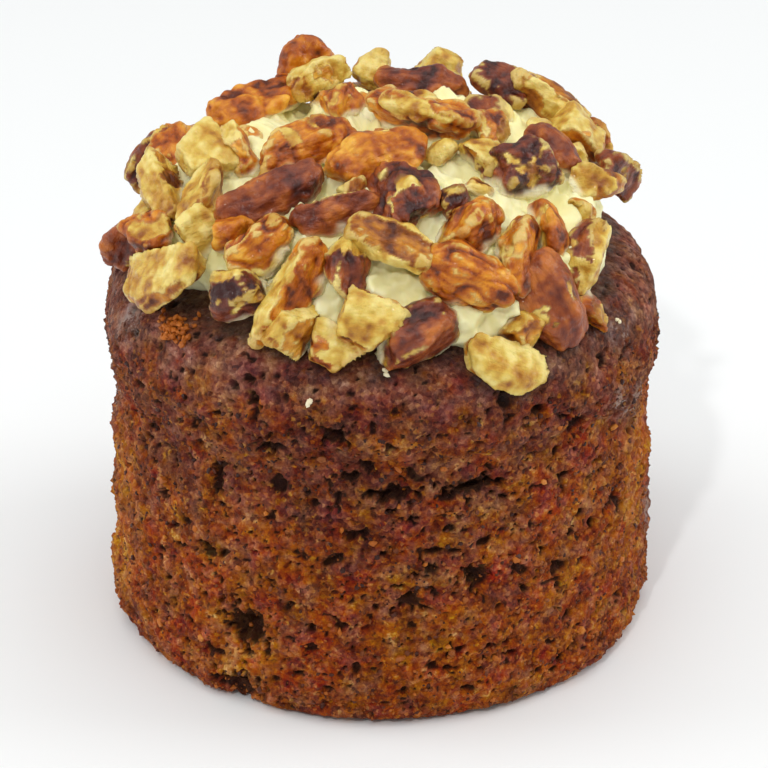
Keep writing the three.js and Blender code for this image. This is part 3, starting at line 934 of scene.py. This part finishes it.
# Where the frosting stands up, or is pulled in: azimuth, distance, reach and rise
DABS = [
    (-31, 22.5, 3.2, 1.5),
    (-20, 26.1, 2.6, 1.8),
    (-14, 32, 2.6, 2.2),
    (-2, 30.5, 2.2, 1.6),
    (-1, 32.6, 2.0, 1.2),
    (73, 28.4, 4.5, 1.3),
    (46, 30.5, 3.2, 1.6),
    (31, 32.4, 3.4, 1.5),
    (21, 32.9, 3, 1.2),
    (-102, 17.3, 3, 1.5),
    (41, 19.9, 3, 1.6),
    (-90, 26.4, 3.4, 1.4),
    (33, 16.9, 2.6, 1.6),
    (-3, 16.8, 2.4, 1),
    (-25, 15.6, 2.4, 1.2),
    (-165, 15, 3.4, 2.8),
    (175, 14, 3.4, 2.2),
    (150, 17, 3.4, 2.4),
    (122, 19, 3.4, 2.2),
    (126, 25.5, 3.5, 2.8),
    (-8, 27.5, 2.0, 1.8),
    (-150, 28, 3, 1.2),
    (160, 30, 3, 1),
    (-52, 33.2, 4, -3),
    (-36, 33.2, 3.5, -2.6),
    (-70, 33.2, 3.5, -2),
]


def edge_factor(azimuth):
    """The mound's edge isn't quite round."""
    wave = 0.02 * math.sin(math.radians(3 * azimuth + 20))
    return 1 + wave + 0.015 * math.sin(math.radians(7 * azimuth))


def dab_rise(place):
    rises = [rise * hump(place, middle, reach) for middle, reach, rise in dab_seats]
    return max(rises) + min(0, min(rises))


dab_seats = [
    (mound_seat(azimuth, distance).translation, reach, rise)
    for azimuth, distance, reach, rise in DABS
]
mound_outline = [(0, MOUND_FOOT), (16, MOUND_FOOT)]
for row in range(MOUND_ROWS, -1, -1):
    angle = row / MOUND_ROWS * math.pi / 2
    share = math.sin(angle) ** (2 / MOUND_SQUARENESS)
    rise = math.cos(angle) ** (2 / MOUND_SQUARENESS)
    mound_outline.append((MOUND_RADIUS * share, MOUND_FOOT + MOUND_RISE * rise))
mound = spun(mound_outline, MOUND_STEPS)
mound.normal_update()

all_nuts = bmesh.new()
for piece in pecan_pieces + bit_pieces:
    all_nuts.from_mesh(piece.data)
nut_tree = BVHTree.FromBMesh(all_nuts)

for vert in mound.verts:
    place = vert.co / MM
    if place.z < MOUND_FOOT + 0.5:
        continue
    factor = edge_factor(azimuth_of(place))
    vert.co.x *= factor
    vert.co.y *= factor
    soft = noise(place * 0.1)
    folds = 1 - 2 * abs(noise(place * 0.2 + Vector((3, 0, 0))))
    dabs = noise(place * 0.55)
    ropes = 1 - 2 * abs(noise(place * 0.75 + Vector((9, 0, 0))))
    wisps = 1 - 2 * abs(noise(place * 0.42 + Vector((0, 0, 6))))
    out = 0.9 * soft + 1.1 * (folds - 0.6) + 0.3 * dabs + 0.4 * (wisps - 0.6) - FROSTING_SINK
    out += 0.3 * (ropes - 0.6)
    raised = dab_rise(place)
    out += raised * (0.75 + 0.5 * wisps)
    foot = 1 - smoothstep(place.z, MOUND_FOOT, MOUND_FOOT + FOOT_HEIGHT)
    out -= FOOT_TUCK * foot * (1 - 0.8 * min(1, max(0, raised)))
    vert.co += vert.normal * out * MM
    nut_at, nut_normal, _, gap = nut_tree.find_nearest(vert.co)
    inside = (vert.co - nut_at).dot(nut_normal) < 0
    if not inside:
        creep = CREEP_HEIGHT * math.exp(-((gap / MM / CREEP_WIDTH) ** 2))
        vert.co += vert.normal * creep * MM
smooth_mesh(mound, 1, 0.5)
mound_mesh = mesh_from(mound, "frosting_mound")
frosting_piece = finished_piece("frosting_mound", mound_mesh, "frosting", ["frosting"])

# %% [markdown]
# Materials
#
# The materials are built from nodes by a few short helpers. Colours are written
# as they look on a screen and changed to the linear values that the renderer
# works with. Patterns read Object coordinates in metres, so a noise scale of
# 2000 means features of half a millimetre.

# %% Helpers for materials
def linear(code):
    """The linear colour of a screen colour, such as 8a5a2b."""
    channels = [int(code[i : i + 2], 16) / 255 for i in (0, 2, 4)]
    curve = [c / 12.92 if c <= 0.04045 else ((c + 0.055) / 1.055) ** 2.4 for c in channels]
    return (*curve, 1)


def new_material(name):
    material = bpy.data.materials.new(name)
    material.use_nodes = True
    material.node_tree.nodes.clear()
    return material, material.node_tree


def add(tree, kind, inputs=None, **settings):
    """Adds a shader node, whose inputs take values or other nodes' sockets."""
    node = tree.nodes.new("ShaderNode" + kind)
    for setting, value in settings.items():
        setattr(node, setting, value)
    for key, value in (inputs or {}).items():
        socket = node.inputs[key]
        if isinstance(value, bpy.types.NodeSocket):
            tree.links.new(value, socket)
        else:
            socket.default_value = value
    return node


def object_coords(tree):
    return add(tree, "TexCoord").outputs["Object"]


def attribute(tree, name, output="Fac"):
    return add(tree, "Attribute", attribute_name=name).outputs[output]


def math_node(tree, operation, first, second=0.0, clamp=False):
    inputs = {0: first, 1: second}
    return add(tree, "Math", inputs, operation=operation, use_clamp=clamp).outputs[0]


def scaled(tree, value, factor, offset=0.0):
    """value * factor + offset"""
    inputs = {0: value, 1: factor, 2: offset}
    return add(tree, "Math", inputs, operation="MULTIPLY_ADD").outputs[0]


def total(tree, *values):
    whole = values[0]
    for value in values[1:]:
        whole = math_node(tree, "ADD", whole, value)
    return whole


def clamped(tree, value):
    return math_node(tree, "ADD", value, clamp=True)


def ramp(tree, value, steps, codes):
    """A colour for each value, which passes a colour code at each of its steps."""
    node = add(tree, "ValToRGB", {"Fac": value})
    elements = node.color_ramp.elements
    while len(elements) < len(steps):
        elements.new(0.5)
    for element, position, code in zip(elements, steps, codes):
        element.position = position
        element.color = linear(code)
    return node.outputs["Color"]


def mix(tree, share, first, second):
    node = add(tree, "Mix", data_type="RGBA")
    for index, value in ((0, share), (6, first), (7, second)):
        if isinstance(value, bpy.types.NodeSocket):
            tree.links.new(value, node.inputs[index])
        else:
            node.inputs[index].default_value = value
    return node.outputs[2]


def noise_node(tree, vector, scale, detail=3, roughness=0.55):
    inputs = {"Vector": vector, "Scale": scale, "Detail": detail, "Roughness": roughness}
    return add(tree, "TexNoise", inputs).outputs["Fac"]


def cells_node(tree, vector, scale):
    return add(tree, "TexVoronoi", {"Vector": vector, "Scale": scale})


def bump(tree, height, depth, strength=1.0):
    inputs = {"Height": height, "Distance": depth * MM, "Strength": strength}
    return add(tree, "Bump", inputs).outputs["Normal"]


def shade_with(tree, inputs):
    shader = add(tree, "BsdfPrincipled", inputs)
    output = add(tree, "OutputMaterial")
    tree.links.new(shader.outputs[0], output.inputs["Surface"])


# %% [markdown]
# Crumb and crust as one material
#
# The torn crumb isn't brown: it is a mixture of dark purple-brown, red-brown,
# orange and gold grains, and from a step away they blend to brown. Cells of half
# a millimetre, each with its own random value, give that mixture through a
# colour ramp. Browned places lean it towards purple, and they hold painted shade
# at front and back and painted light at the sides. Golden places lean it towards
# gold, and its hue and strength drift a little everywhere. The crust value fades
# it into the duller skin. Pores and hollows are dark with painted shade. Wet
# places are darker and shine, and their pale streaks are a painted sheen. Next to
# the topping the crust has painted shade, and it shines.

# %% Sponge material
WARM_STEPS = (0.05, 0.25, 0.42, 0.58, 0.76, 0.98)
WARM_CRUMB = ("3c100a", "661f0e", "8b3a15", "aa521c", "c4702a", "eebc70")
DARK_STEPS = (0.05, 0.25, 0.42, 0.6, 0.8, 0.98)
DARK_CRUMB = ("2a0a09", "4b1d18", "6c3226", "8c4d30", "b27040", "e2a860")
CRUST_STEPS = (0.05, 0.28, 0.46, 0.66, 0.95)
CRUST_SKIN = ("260c0c", "4c2420", "6e3c31", "925b47", "c89476")


def sponge_material():
    material, tree = new_material("sponge_crumb")
    coords = object_coords(tree)
    crust, hollow, browned, golden, wet, sticky = [attribute(tree, name) for name in SPONGE_VALUES]
    broad = noise_node(tree, coords, 70, 2)
    clumps = noise_node(tree, coords, 330, 3)
    fine = noise_node(tree, coords, 1300, 5, 0.75)
    cells = cells_node(tree, coords, 1500)
    random_cell = add(tree, "SeparateColor", {0: cells.outputs["Color"]}).outputs[0]
    hue = noise_node(tree, coords, 190, 4, 0.65)
    lean = total(
        tree,
        scaled(tree, broad, 0.5, -0.25),
        scaled(tree, clumps, 0.8, -0.4),
        scaled(tree, fine, 1.1, -0.55),
        scaled(tree, golden, 0.25),
        scaled(tree, random_cell, 0.3, 0.35),
    )
    warm_crumb = ramp(tree, lean, WARM_STEPS, WARM_CRUMB)
    dark_crumb = ramp(tree, lean, DARK_STEPS, DARK_CRUMB)
    # Browned crumb leans dark: its front and back hold painted shade, its sides painted light
    darker = total(tree, scaled(tree, browned, 0.75), scaled(tree, hue, 3.2, -1.45))
    crumb = mix(tree, clamped(tree, darker), warm_crumb, dark_crumb)
    warm_skin = scaled(tree, hue, -4, 1.9)
    warm_skin = math_node(tree, "MULTIPLY", warm_skin, 0.65, clamp=True)
    skin = ramp(tree, lean, CRUST_STEPS, CRUST_SKIN)
    skin = mix(tree, warm_skin, skin, warm_crumb)
    colour = mix(tree, crust, crumb, skin)
    gold = math_node(tree, "MULTIPLY", golden, scaled(tree, clumps, 3.4, -1.1), clamp=True)
    gold_tone = mix(tree, random_cell, linear("a85818"), linear("dc983c"))
    colour = mix(tree, scaled(tree, gold, 0.85), colour, gold_tone)
    sparks = cells_node(tree, coords, 1900)
    spark = add(tree, "SeparateColor", {0: sparks.outputs["Color"]}).outputs[1]
    spark = total(tree, spark, scaled(tree, fine, 0.12, -0.06))
    spark = ramp(tree, spark, (0.92, 0.97), ("000000", "c0c0c0"))
    spark_colour = mix(tree, random_cell, linear("b04e12"), linear("d8a050"))
    spark = math_node(tree, "MULTIPLY", spark, scaled(tree, crust, -0.6, 1))
    colour = mix(tree, spark, colour, spark_colour)
    turn = noise_node(tree, coords, 260, 3, 0.6)
    strength = noise_node(tree, coords, 430, 3, 0.6)
    shift = add(
        tree,
        "HueSaturation",
        {
            "Hue": scaled(tree, turn, 0.09, 0.455),
            "Saturation": scaled(tree, strength, 0.7, 0.68),
            "Value": scaled(tree, strength, -0.8, 1.4),
            "Color": colour,
        },
    )
    colour = shift.outputs[0]
    pores = cells_node(tree, coords, 620)
    pore_size = total(tree, scaled(tree, fine, 1.0, -0.5), scaled(tree, clumps, -0.6, 0.3))
    pore_edge = total(tree, pores.outputs["Distance"], pore_size, scaled(tree, crust, 0.05))
    pore = ramp(tree, pore_edge, (0.1, 0.17), ("ffffff", "000000"))
    # Pores are darkened with painted shade
    colour = mix(tree, scaled(tree, pore, 0.6), colour, linear("451808"))
    # Holes and pits are darkened with painted shade
    hole_shade = total(tree, hollow, scaled(tree, fine, 0.5, -0.25))
    hole_shade = ramp(tree, hole_shade, (0.25, 0.7), ("000000", "ffffff"))
    colour = mix(tree, scaled(tree, hole_shade, 0.9), colour, linear("160605"))
    colour = mix(tree, scaled(tree, wet, 0.45), colour, linear("3a1e18"))
    # Pale grey streaks on the wet places are a painted sheen
    painted_sheen = scaled(tree, total(tree, fine, clumps), 0.5)
    painted_sheen = ramp(tree, painted_sheen, (0.49, 0.56), ("000000", "ffffff"))
    painted_sheen = math_node(tree, "MULTIPLY", painted_sheen, scaled(tree, wet, 0.75))
    colour = mix(tree, painted_sheen, colour, linear("b4a8a0"))
    # Next to the topping the crust is darkened with painted shade
    colour = mix(tree, scaled(tree, sticky, 0.7), colour, linear("200c0c"))
    glint = scaled(tree, noise_node(tree, coords, 700, 4, 0.7), 5, -2.9)
    moist = total(
        tree,
        scaled(tree, wet, 0.8),
        scaled(tree, glint, 0.7),
        scaled(tree, sticky, 0.6),
        scaled(tree, crust, 0.22),
    )
    coat = math_node(tree, "MULTIPLY", clamped(tree, moist), scaled(tree, pore, -1, 1))
    relief = total(tree, scaled(tree, cells.outputs["Distance"], -0.5), fine)
    normal = bump(tree, total(tree, relief, scaled(tree, pore, -0.5)), 0.55)
    shade_with(
        tree,
        {
            "Base Color": colour,
            "Roughness": 0.7,
            "Normal": normal,
            "Specular IOR Level": 0.15,
            "Coat Weight": coat,
            "Coat Roughness": 0.18,
            "Coat Normal": normal,
            "Sheen Weight": 0.16,
            "Sheen Roughness": 0.45,
            "Sheen Tint": linear("e0a070"),
        },
    )
    return material


sponge_piece.data.materials.append(sponge_material())

# %% [markdown]
# Loose grains
#
# A grain is too small for a pattern of its own, so it takes one colour from the
# tone that was drawn for it, with a little noise so that its faces differ. Tones
# run from dark crumb to clear orange, and the crumbs of frosting lie far above
# them, at the cream end.

# %% Grain material
GRAIN_STEPS = (0.08, 0.23, 0.38, 0.53, 0.65, 0.78, 0.92)
GRAIN_TONES = ("34130a", "612c14", "8a4a1a", "a85a1a", "bd6a20", "cf8a34", "f2e8c4")


def grain_material():
    material, tree = new_material("sponge_grains")
    coords = object_coords(tree)
    fine = noise_node(tree, coords, 2200, 2)
    tone = total(tree, scaled(tree, attribute(tree, "grain_tone"), 0.5), scaled(tree, fine, 0.22))
    colour = ramp(tree, tone, GRAIN_STEPS, GRAIN_TONES)
    normal = bump(tree, fine, 0.15, 0.6)
    shade_with(
        tree,
        {"Base Color": colour, "Roughness": 0.5, "Normal": normal, "Specular IOR Level": 0.3},
    )
    return material


grain_piece.data.materials.append(grain_material())

# %% [markdown]
# Nut skin and flesh
#
# Pecan skin is thin, oily and brown, and it breaks away to dense cream-yellow
# flesh. One function makes the finish of all three tones, with another skin ramp
# for each. Streaks run along the nut: the noise reads the nut's own coordinates,
# stretched along its length. Creases and hollows are darker, which is painted
# shade, and edges are lighter. A brown line parts skin from flesh, and where the
# nut meets the frosting a smear of cream covers it.

# %% Nut materials
SKINS = {
    "pecan_amber": ["edb040", "d28018", "aa520c", "5c240c"],
    "pecan_dark": ["bd6c2c", "964a22", "70301c", "3a1410"],
    "pecan_pale": ["e6b448", "c8821e", "955010", "55230c"],
}
SKIN_STEPS = (0.1, 0.36, 0.6, 0.85)
FLESH_STEPS = (0.34, 0.5, 0.66, 0.84)
FLESH_TONES = ("efda84", "dfbe58", "c69232", "94561c")


def nut_material(slot):
    material, tree = new_material(slot)
    coords = object_coords(tree)
    own = attribute(tree, "nut_own", "Vector")
    stretched = add(tree, "VectorMath", {0: own, 1: (0.25, 1, 1)}, operation="MULTIPLY")
    streaks = noise_node(tree, stretched.outputs[0], 1.1, 4, 0.55)
    patches = noise_node(tree, own, 0.26, 2)
    specks = noise_node(tree, coords, 1500, 3)
    flesh, crease_shade_and_edge_tone, smear, shade = [attribute(tree, name) for name in NUT_VALUES]
    tone = total(
        tree,
        scaled(tree, shade, 0.5),
        scaled(tree, streaks, 0.4),
        scaled(tree, patches, 1.7),
        scaled(tree, specks, 0.3),
        # Creases and hollows are darker as painted shade, and edges lighter
        scaled(tree, crease_shade_and_edge_tone, 0.55, -0.96),
    )
    codes = SKINS[slot]
    skin = ramp(tree, tone, SKIN_STEPS, codes)
    flesh_tone = total(
        tree,
        scaled(tree, patches, 1.3, -0.23),
        scaled(tree, specks, 0.2),
        scaled(tree, crease_shade_and_edge_tone, 0.5),
    )
    pale = ramp(tree, flesh_tone, FLESH_STEPS, FLESH_TONES)
    colour = mix(tree, flesh, skin, pale)
    border = math_node(tree, "MULTIPLY", flesh, scaled(tree, flesh, -1.8, 1.8))
    colour = mix(tree, border, colour, linear(codes[2]))
    colour = mix(tree, smear, colour, linear("f0e9c4"))
    roughness = scaled(tree, streaks, 0.3, 0.25)
    crinkles = noise_node(tree, coords, 520, 4, 0.6)
    relief = total(tree, streaks, scaled(tree, crinkles, 0.7), scaled(tree, specks, 0.3))
    normal = bump(tree, relief, 0.6, 0.9)
    shade_with(
        tree,
        {
            "Base Color": colour,
            "Roughness": roughness,
            "Normal": normal,
            "Specular IOR Level": 0.2,
            "Coat Weight": 0.35,
            "Coat Roughness": 0.08,
            "Coat Normal": bump(tree, crinkles, 0.55, 0.9),
            "Subsurface Weight": 0.15,
            "Subsurface Radius": (1, 0.5, 0.2),
            "Subsurface Scale": 0.8 * MM,
        },
    )
    return material


nut_finishes = {slot: nut_material(slot) for slot in SKINS}
for piece in pecan_pieces + bit_pieces:
    piece.data.materials.append(nut_finishes[piece["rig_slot"]])

# %% [markdown]
# Cream cheese frosting
#
# Frosting lets light in a little way and spreads it, which is what makes it look
# soft, so the shader has some subsurface scattering. Its colour is a pale warm
# cream that turns faintly yellow in broad patches, and its sheen is satin.

# %% Frosting material
def frosting_material():
    material, tree = new_material("frosting_cream")
    coords = object_coords(tree)
    broad = noise_node(tree, coords, 120, 3)
    fine = noise_node(tree, coords, 900, 4, 0.6)
    colour = ramp(tree, broad, (0.3, 0.7), ("fcf8cc", "f8f0a8"))
    roughness = scaled(tree, fine, 0.3, 0.3)
    normal = bump(tree, fine, 0.2, 0.4)
    shade_with(
        tree,
        {
            "Base Color": colour,
            "Roughness": roughness,
            "Normal": normal,
            "Subsurface Weight": 0.25,
            "Subsurface Radius": (1, 0.8, 0.5),
            "Subsurface Scale": 1.5 * MM,
        },
    )
    return material


frosting_piece.data.materials.append(frosting_material())

# %% [markdown]
# Floor and light
#
# The cake stands on a seamless white sheet in soft light, so its shadow is
# barely seen. A bright world does most of the work, with a wide lamp above and
# one on each side, and a small lamp in front gives the glints on the nuts.

# %% Stage
FLOOR_SIDE = 6
FLOOR_COLOUR = "f5f7f7"
WORLD_STRENGTH = 0.43
# Each lamp's place and size in metres, and its power
LAMPS = {
    "lamp_above": ((0.03, -0.08, 0.8), 0.9, 3.5),
    "lamp_front": ((-0.2, -0.7, 0.75), 0.04, 1.9),
    "lamp_left": ((-0.9, 0.1, 0.4), 0.5, 2.4),
    "lamp_right": ((0.9, 0.1, 0.4), 0.5, 2.8),
}


floor_material, tree = new_material("floor")
shade_with(tree, {"Base Color": linear(FLOOR_COLOUR), "Roughness": 0.9})
floor_bm = bmesh.new()
bmesh.ops.create_grid(floor_bm, x_segments=4, y_segments=4, size=FLOOR_SIDE / 2)
floor = linked("floor", mesh_from(floor_bm, "floor"))
floor.data.materials.append(floor_material)

for name, (place, size, power) in LAMPS.items():
    lamp = bpy.data.lights.new(name, "AREA")
    lamp.size = size
    lamp.energy = power
    light = linked(name, lamp)
    light.location = place
    aim = TARGET - Vector(place)
    light.rotation_euler = aim.to_track_quat("-Z", "Y").to_euler()
world = bpy.data.worlds.new("studio")
world.use_nodes = True
background = world.node_tree.nodes["Background"].inputs
background["Color"].default_value = (1, 1, 1, 1)
background["Strength"].default_value = WORLD_STRENGTH
bpy.context.scene.world = world
bpy.context.scene.view_settings.view_transform = "Standard"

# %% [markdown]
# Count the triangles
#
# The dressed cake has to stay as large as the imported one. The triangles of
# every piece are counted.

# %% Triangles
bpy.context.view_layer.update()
pieces = [sponge_piece, grain_piece, frosting_piece] + pecan_pieces + bit_pieces
triangles = {
    piece.name: sum(polygon.loop_total - 2 for polygon in piece.data.polygons) for piece in pieces
}
print("triangles:", sum(triangles.values()), "at most in one piece:", max(triangles.values()))
